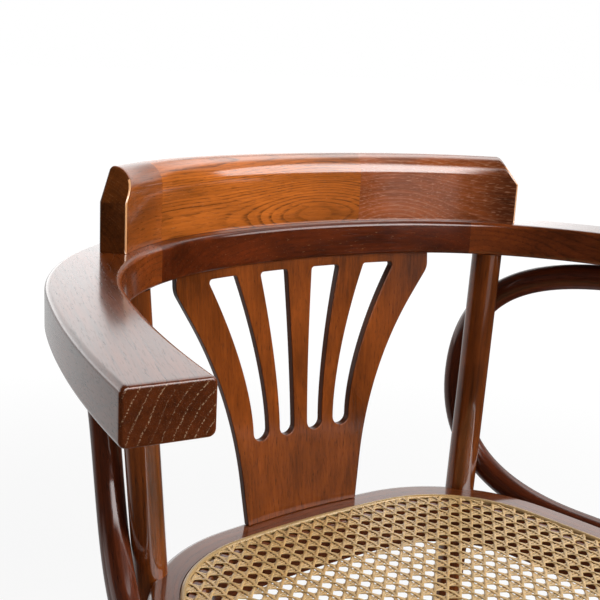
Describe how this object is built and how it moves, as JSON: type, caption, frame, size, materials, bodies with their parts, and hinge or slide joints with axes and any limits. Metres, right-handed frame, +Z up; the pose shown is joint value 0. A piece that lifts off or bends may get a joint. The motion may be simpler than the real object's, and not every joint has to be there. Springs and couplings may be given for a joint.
{
  "type": "cane seat armchair",
  "caption": "Wooden captain's chair with a bent bow arm, crest rail, fan-shaped slotted splat, bent side braces, round-cornered cane seat and a hoop between its legs.",
  "frame": {"origin": "middle of the chair's box in plan, on the floor", "axes": "+Z up; the chair faces -Y; +X is to the right seen from the front along +Y, and the shape is the same left and right"},
  "size_m": [0.611, 0.4822, 0.7545],
  "materials": {
    "stained_ring": "brown stain under gloss varnish",
    "stained_rod": "brown stain under gloss varnish",
    "stained_bow": "dark brown stain under gloss varnish, open grain",
    "stained_crest": "orange-brown stain under gloss varnish",
    "stained_splat": "orange-brown stain under gloss varnish",
    "beech_peg": "bare",
    "cane": "clear lacquer on rattan cane",
    "cane_binding": "clear lacquer on reed",
    "dark_steel": "dark zinc plate",
    "glide_plastic": "moulded"
  },
  "bodies": {
    "root": {"seat_frame": "stained_ring", "rear_post_left": "stained_rod", "rear_post_right": "stained_rod", "front_leg_left": "stained_rod", "front_leg_right": "stained_rod", "stretcher_hoop": "stained_rod", "side_brace_left": "stained_rod", "side_brace_right": "stained_rod", "bow_back": "stained_bow", "bow_arm_left": "stained_bow", "bow_arm_right": "stained_bow", "crest_block_left": "stained_crest", "crest_block_middle": "stained_crest", "crest_block_right": "stained_crest", "splat": "stained_splat", "bow_dowel_1": "beech_peg", "bow_dowel_2": "beech_peg", "bow_dowel_3": "beech_peg", "bow_dowel_4": "beech_peg", "crest_dowel_1": "beech_peg", "crest_dowel_2": "beech_peg", "crest_dowel_3": "beech_peg", "crest_dowel_4": "beech_peg", "crest_dowel_5": "beech_peg", "cane_panel": "cane", "cane_spline": "cane_binding", "brace_arm_screw_left": "dark_steel", "brace_arm_screw_right": "dark_steel", "brace_seat_screw_left": "dark_steel", "brace_seat_screw_right": "dark_steel", "post_screw_left": "dark_steel", "post_screw_right": "dark_steel", "hoop_screw_1": "dark_steel", "hoop_screw_2": "dark_steel", "hoop_screw_3": "dark_steel", "hoop_screw_4": "dark_steel", "front_glide_left": "glide_plastic", "front_glide_right": "glide_plastic", "rear_glide_left": "glide_plastic", "rear_glide_right": "glide_plastic"}
  },
  "joints": []
}
